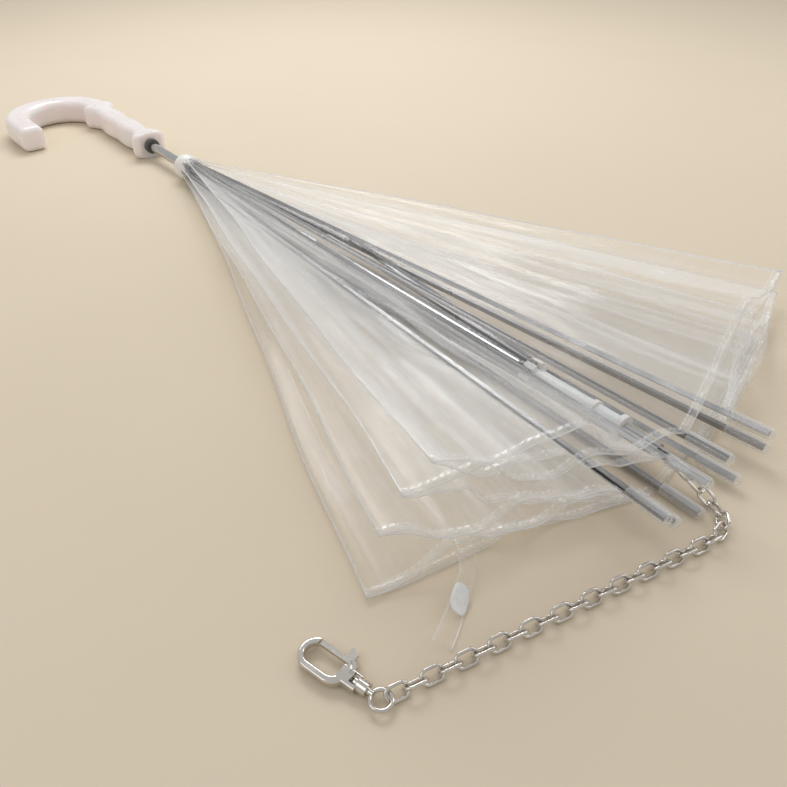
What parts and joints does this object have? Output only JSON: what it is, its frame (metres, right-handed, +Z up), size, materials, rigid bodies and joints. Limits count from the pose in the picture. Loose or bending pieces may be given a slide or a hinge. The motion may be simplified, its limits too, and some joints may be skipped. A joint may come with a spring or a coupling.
{
  "type": "folded clear pet umbrella",
  "caption": "Folded clear film umbrella for walking a pet: outside J handle, tubular shaft, runner, fluted ribs with clear tips, and an inside chain with a snap hook.",
  "frame": {"origin": "middle of the base, on the surface the folded umbrella lies on", "axes": "+X along the shaft from the handle to the rib tips, +Z up from the surface"},
  "size_m": [0.7545, 0.3865, 0.0671],
  "materials": {
    "clear_film": "clear, smooth",
    "chrome_shaft": "polished",
    "plated_rib": "plated, satin",
    "nickel_chain": "polished nickel",
    "white_plastic": "moulded, semi gloss",
    "pearl_handle": "pearly, translucent",
    "clear_tip": "clear, smooth",
    "dark_bush": "matte",
    "white_patch": "matte"
  },
  "bodies": {
    "shaft": {"shaft_tube": "chrome_shaft", "handle": "pearl_handle", "handle_collar": "dark_bush", "top_cap": "white_plastic", "crown_hub": "white_plastic", "crown_wire": "plated_rib", "end_plug": "nickel_chain", "chain_upper": "nickel_chain"},
    "runner": {"runner": "white_plastic", "runner_wire": "plated_rib"},
    "rib_1": {"rib_1": "plated_rib", "rib_tip_1": "clear_tip"},
    "rib_2": {"rib_2": "plated_rib", "rib_tip_2": "clear_tip"},
    "rib_3": {"rib_3": "plated_rib", "rib_tip_3": "clear_tip"},
    "rib_4": {"rib_4": "plated_rib", "rib_tip_4": "clear_tip"},
    "rib_5": {"rib_5": "plated_rib", "rib_tip_5": "clear_tip"},
    "rib_6": {"rib_6": "plated_rib", "rib_tip_6": "clear_tip"},
    "rib_7": {"rib_7": "plated_rib", "rib_tip_7": "clear_tip"},
    "rib_8": {"rib_8": "plated_rib", "rib_tip_8": "clear_tip"},
    "stretcher_1": {"stretcher_1": "plated_rib"},
    "stretcher_2": {"stretcher_2": "plated_rib"},
    "stretcher_3": {"stretcher_3": "plated_rib"},
    "stretcher_4": {"stretcher_4": "plated_rib"},
    "stretcher_5": {"stretcher_5": "plated_rib"},
    "stretcher_6": {"stretcher_6": "plated_rib"},
    "stretcher_7": {"stretcher_7": "plated_rib"},
    "stretcher_8": {"stretcher_8": "plated_rib"},
    "gore_1_first_half": {"gore_1_first_half": "clear_film"},
    "gore_1_second_half": {"gore_1_second_half": "clear_film"},
    "gore_2_first_half": {"gore_2_first_half": "clear_film"},
    "gore_2_second_half": {"gore_2_second_half": "clear_film"},
    "gore_3_first_half": {"gore_3_first_half": "clear_film"},
    "gore_3_second_half": {"gore_3_second_half": "clear_film"},
    "gore_4_first_half": {"gore_4_first_half": "clear_film"},
    "gore_4_second_half": {"gore_4_second_half": "clear_film"},
    "gore_5_first_half": {"gore_5_first_half": "clear_film"},
    "gore_5_second_half": {"gore_5_second_half": "clear_film"},
    "gore_6_first_half": {"gore_6_first_half": "clear_film", "tie_strap": "clear_film", "strap_patch": "white_patch"},
    "gore_6_second_half": {"gore_6_second_half": "clear_film"},
    "gore_7_first_half": {"gore_7_first_half": "clear_film"},
    "gore_7_second_half": {"gore_7_second_half": "clear_film"},
    "gore_8_first_half": {"gore_8_first_half": "clear_film"},
    "gore_8_second_half": {"gore_8_second_half": "clear_film"},
    "chain_middle": {"chain_middle": "nickel_chain"},
    "chain_lower": {"chain_lower": "nickel_chain", "snap_swivel": "nickel_chain"},
    "snap": {"snap_body": "nickel_chain", "snap_pin": "nickel_chain"},
    "snap_gate": {"snap_lever": "nickel_chain"},
    "upper_catch": {"upper_catch": "plated_rib"},
    "lower_catch": {"lower_catch": "plated_rib"}
  },
  "joints": [
    {"name": "runner_slide", "type": "slide", "parent": "shaft", "child": "runner", "axis": [-1, 0, 0], "range_m": [0, 0.24]},
    {"name": "rib_1_hinge", "type": "hinge", "parent": "shaft", "child": "rib_1", "pos_m": [-0.1344, 0.0083, 0.011], "axis": [0.0041, -0.0017, 1], "range_deg": [0, 63.72]},
    {"name": "rib_2_hinge", "type": "hinge", "parent": "shaft", "child": "rib_2", "pos_m": [-0.1344, 0.0064, 0.0156], "axis": [0.0538, -0.7213, 0.6905], "range_deg": [0, 64.67]},
    {"name": "rib_3_hinge", "type": "hinge", "parent": "shaft", "child": "rib_3", "pos_m": [-0.1344, 0.0018, 0.0175], "axis": [-0.0041, -1, 0.0016], "range_deg": [0, 66.6]},
    {"name": "rib_4_hinge", "type": "hinge", "parent": "shaft", "child": "rib_4", "pos_m": [-0.1344, -0.0028, 0.0156], "axis": [-0.0043, -0.7083, -0.7059], "range_deg": [0, 66.42]},
    {"name": "rib_5_hinge", "type": "hinge", "parent": "shaft", "child": "rib_5", "pos_m": [-0.1344, -0.0047, 0.011], "axis": [0.0187, 0.0075, -0.9998], "range_deg": [0, 63.73]},
    {"name": "rib_6_hinge", "type": "hinge", "parent": "shaft", "child": "rib_6", "pos_m": [-0.1344, -0.0028, 0.0064], "axis": [0.0518, 0.7208, -0.6912], "range_deg": [0, 66.05]},
    {"name": "rib_7_hinge", "type": "hinge", "parent": "shaft", "child": "rib_7", "pos_m": [-0.1344, 0.0018, 0.0045], "axis": [0.0261, 0.9996, 0.0105], "range_deg": [0, 67.89]},
    {"name": "rib_8_hinge", "type": "hinge", "parent": "shaft", "child": "rib_8", "pos_m": [-0.1344, 0.0064, 0.0064], "axis": [-0.0163, 0.7116, 0.7023], "range_deg": [0, 66.95]},
    {"name": "stretcher_1_hinge", "type": "hinge", "parent": "rib_1", "child": "stretcher_1", "pos_m": [0.05806, 0.0228, 0.01268], "axis": [-0.0075, 0.0178, -0.9998], "range_deg": [0, 127.97]},
    {"name": "stretcher_2_hinge", "type": "hinge", "parent": "rib_2", "child": "stretcher_2", "pos_m": [0.05813, 0.01987, 0.01822], "axis": [0.0346, 0.6343, -0.7723], "range_deg": [0, 129.55]},
    {"name": "stretcher_3_hinge", "type": "hinge", "parent": "rib_3", "child": "stretcher_3", "pos_m": [0.05855, 0.00348, 0.02233], "axis": [0.0084, 0.9998, -0.0198], "range_deg": [0, 133.74]},
    {"name": "stretcher_4_hinge", "type": "hinge", "parent": "rib_4", "child": "stretcher_4", "pos_m": [0.05853, -0.00547, 0.02058], "axis": [0.0081, 0.7204, 0.6935], "range_deg": [0, 133.4]},
    {"name": "stretcher_5_hinge", "type": "hinge", "parent": "rib_5", "child": "stretcher_5", "pos_m": [0.05807, -0.01919, 0.01203], "axis": [0.0043, 0.0147, 0.9999], "range_deg": [0, 127.98]},
    {"name": "stretcher_6_hinge", "type": "hinge", "parent": "rib_6", "child": "stretcher_6", "pos_m": [0.05836, -0.01279, 0.00688], "axis": [0.0355, -0.6323, 0.7739], "range_deg": [0, 132.33]},
    {"name": "stretcher_7_hinge", "type": "hinge", "parent": "rib_7", "child": "stretcher_7", "pos_m": [0.0586, -0.00078, 0.00402], "axis": [0.0136, -0.9991, 0.0404], "range_deg": [0, 136.32]},
    {"name": "stretcher_8_hinge", "type": "hinge", "parent": "rib_8", "child": "stretcher_8", "pos_m": [0.05858, 0.00945, 0.0043], "axis": [-0.0033, -0.6984, -0.7157], "range_deg": [0, 134.45]},
    {"name": "gore_1_first_half_fold", "type": "hinge", "parent": "rib_1", "child": "gore_1_first_half", "pos_m": [0.16711, 0.02608, 0.01545], "axis": [0.9985, 0.0547, 0.0049], "range_deg": [0, 98.97], "deforming": ["gore_1_first_half"]},
    {"name": "gore_1_second_half_fold", "type": "hinge", "parent": "rib_2", "child": "gore_1_second_half", "pos_m": [0.16719, 0.02598, 0.00766], "axis": [-0.9981, -0.0567, 0.0238], "range_deg": [0, 52.69], "deforming": ["gore_1_second_half"]},
    {"name": "gore_2_first_half_fold", "type": "hinge", "parent": "rib_2", "child": "gore_2_first_half", "pos_m": [0.17067, 0.01893, 0.02066], "axis": [0.999, 0.0453, 0.0061], "range_deg": [0, 128.3], "deforming": ["gore_2_first_half"]},
    {"name": "gore_2_second_half_fold", "type": "hinge", "parent": "rib_3", "child": "gore_2_second_half", "pos_m": [0.14087, 0.00044, -0.06533], "axis": [-0.9561, 0.0098, 0.2929], "range_deg": [0, 15.68], "deforming": ["gore_2_second_half"]},
    {"name": "gore_3_first_half_fold", "type": "hinge", "parent": "rib_3", "child": "gore_3_first_half", "pos_m": [0.16046, -0.0039, -0.03032], "axis": [0.9862, -0.0136, -0.1648], "range_deg": [0, 25.52], "deforming": ["gore_3_first_half"]},
    {"name": "gore_3_second_half_fold", "type": "hinge", "parent": "rib_4", "child": "gore_3_second_half", "pos_m": [0.16924, 0.00512, 0.02391], "axis": [-0.9996, -0.0218, -0.0171], "range_deg": [0, 123.85], "deforming": ["gore_3_second_half"]},
    {"name": "gore_4_first_half_fold", "type": "hinge", "parent": "rib_4", "child": "gore_4_first_half", "pos_m": [0.16612, -0.00009, -0.0092], "axis": [0.9967, 0.0185, -0.0791], "range_deg": [0, 68.45], "deforming": ["gore_4_first_half"]},
    {"name": "gore_4_second_half_fold", "type": "hinge", "parent": "rib_5", "child": "gore_4_second_half", "pos_m": [0.16983, -0.00929, 0.02868], "axis": [-0.9987, 0.0108, -0.0489], "range_deg": [0, 80.62], "deforming": ["gore_4_second_half"]},
    {"name": "gore_5_first_half_fold", "type": "hinge", "parent": "rib_5", "child": "gore_5_first_half", "pos_m": [0.16965, -0.01361, 0.00048], "axis": [0.9994, -0.0249, -0.0246], "range_deg": [0, 108.22], "deforming": ["gore_5_first_half"]},
    {"name": "gore_5_second_half_fold", "type": "hinge", "parent": "rib_6", "child": "gore_5_second_half", "pos_m": [0.16293, 0.00347, 0.04777], "axis": [-0.9903, -0.0291, -0.1358], "range_deg": [0, 43.81], "deforming": ["gore_5_second_half"]},
    {"name": "gore_6_first_half_fold", "type": "hinge", "parent": "rib_6", "child": "gore_6_first_half", "pos_m": [0.16957, -0.0103, 0.00538], "axis": [0.9996, -0.0291, 0.0072], "range_deg": [0, 138.15], "deforming": ["gore_6_first_half", "tie_strap", "strap_patch"]},
    {"name": "gore_6_second_half_fold", "type": "hinge", "parent": "rib_7", "child": "gore_6_second_half", "pos_m": [0.12819, 0.00142, 0.10517], "axis": [-0.9323, -0.001, -0.3617], "range_deg": [0, 10.92], "deforming": ["gore_6_second_half"]},
    {"name": "gore_7_first_half_fold", "type": "hinge", "parent": "rib_7", "child": "gore_7_first_half", "pos_m": [0.112, -0.00851, 0.1195], "axis": [0.9032, -0.0456, 0.4268], "range_deg": [0, 9.17], "deforming": ["gore_7_first_half"]},
    {"name": "gore_7_second_half_fold", "type": "hinge", "parent": "rib_8", "child": "gore_7_second_half", "pos_m": [0.17011, 0.00375, 0.00157], "axis": [-1, 0.0042, 0.0054], "range_deg": [0, 141.84], "deforming": ["gore_7_second_half"]},
    {"name": "gore_8_first_half_fold", "type": "hinge", "parent": "rib_8", "child": "gore_8_first_half", "pos_m": [0.16548, 0.0038, 0.02734], "axis": [0.9976, -0.0174, 0.0671], "range_deg": [0, 54.31], "deforming": ["gore_8_first_half"]},
    {"name": "gore_8_second_half_fold", "type": "hinge", "parent": "rib_1", "child": "gore_8_second_half", "pos_m": [0.16958, 0.02213, 0.00082], "axis": [-0.9989, -0.0412, 0.0237], "range_deg": [0, 97.93], "deforming": ["gore_8_second_half"]},
    {"name": "chain_lift", "type": "hinge", "parent": "shaft", "child": "chain_middle", "pos_m": [0.37447, -0.01712, 0.00295], "axis": [-0.9755, 0.2199, 0], "range_deg": [0, 25]},
    {"name": "chain_end_lift", "type": "hinge", "parent": "chain_middle", "child": "chain_lower", "pos_m": [0.35703, -0.09711, 0.00295], "axis": [-0.9755, 0.2199, 0], "range_deg": [0, 25]},
    {"name": "snap_swivel_spin", "type": "hinge", "parent": "chain_lower", "child": "snap", "pos_m": [0.33009, -0.18173, 0.00295], "axis": [-0.9754, -0.2203, 0], "continuous": true},
    {"name": "snap_gate_hinge", "type": "hinge", "parent": "snap", "child": "snap_gate", "pos_m": [0.3232, -0.18165, 0.00295], "axis": [0, 0, 1], "range_deg": [0, 20], "stiffness_Nm_per_rad": 0.04, "springref_deg": -22.92},
    {"name": "upper_catch_press", "type": "slide", "parent": "shaft", "child": "upper_catch", "axis": [0, 0, -1], "range_m": [0, 0.0009], "stiffness_N_per_m": 600, "springref_m": -0.001},
    {"name": "lower_catch_press", "type": "slide", "parent": "shaft", "child": "lower_catch", "axis": [0, 0, -1], "range_m": [0, 0.0009], "stiffness_N_per_m": 600, "springref_m": -0.001}
  ],
  "couplings": [
    {"joint": "rib_1_hinge", "follows": "runner_slide", "rad_per_m": 4.6317},
    {"joint": "rib_2_hinge", "follows": "runner_slide", "rad_per_m": 4.7005},
    {"joint": "rib_3_hinge", "follows": "runner_slide", "rad_per_m": 4.8407},
    {"joint": "rib_4_hinge", "follows": "runner_slide", "rad_per_m": 4.8281},
    {"joint": "rib_5_hinge", "follows": "runner_slide", "rad_per_m": 4.632},
    {"joint": "rib_6_hinge", "follows": "runner_slide", "rad_per_m": 4.8008},
    {"joint": "rib_7_hinge", "follows": "runner_slide", "rad_per_m": 4.9348},
    {"joint": "rib_8_hinge", "follows": "runner_slide", "rad_per_m": 4.8662},
    {"joint": "stretcher_1_hinge", "follows": "runner_slide", "rad_per_m": 9.3016},
    {"joint": "stretcher_2_hinge", "follows": "runner_slide", "rad_per_m": 9.4165},
    {"joint": "stretcher_3_hinge", "follows": "runner_slide", "rad_per_m": 9.7213},
    {"joint": "stretcher_4_hinge", "follows": "runner_slide", "rad_per_m": 9.696},
    {"joint": "stretcher_5_hinge", "follows": "runner_slide", "rad_per_m": 9.3023},
    {"joint": "stretcher_6_hinge", "follows": "runner_slide", "rad_per_m": 9.6183},
    {"joint": "stretcher_7_hinge", "follows": "runner_slide", "rad_per_m": 9.9082},
    {"joint": "stretcher_8_hinge", "follows": "runner_slide", "rad_per_m": 9.773},
    {"joint": "gore_1_first_half_fold", "follows": "runner_slide", "rad_per_m": 7.194},
    {"joint": "gore_1_second_half_fold", "follows": "runner_slide", "rad_per_m": 3.8297},
    {"joint": "gore_2_first_half_fold", "follows": "runner_slide", "rad_per_m": 9.3254},
    {"joint": "gore_2_second_half_fold", "follows": "runner_slide", "rad_per_m": 1.14},
    {"joint": "gore_3_first_half_fold", "follows": "runner_slide", "rad_per_m": 1.8548},
    {"joint": "gore_3_second_half_fold", "follows": "runner_slide", "rad_per_m": 9.0019},
    {"joint": "gore_4_first_half_fold", "follows": "runner_slide", "rad_per_m": 4.9752},
    {"joint": "gore_4_second_half_fold", "follows": "runner_slide", "rad_per_m": 5.8597},
    {"joint": "gore_5_first_half_fold", "follows": "runner_slide", "rad_per_m": 7.8663},
    {"joint": "gore_5_second_half_fold", "follows": "runner_slide", "rad_per_m": 3.1847},
    {"joint": "gore_6_first_half_fold", "follows": "runner_slide", "rad_per_m": 10.041},
    {"joint": "gore_6_second_half_fold", "follows": "runner_slide", "rad_per_m": 0.79362},
    {"joint": "gore_7_first_half_fold", "follows": "runner_slide", "rad_per_m": 0.66675},
    {"joint": "gore_7_second_half_fold", "follows": "runner_slide", "rad_per_m": 10.31},
    {"joint": "gore_8_first_half_fold", "follows": "runner_slide", "rad_per_m": 3.9477},
    {"joint": "gore_8_second_half_fold", "follows": "runner_slide", "rad_per_m": 7.1184}
  ]
}
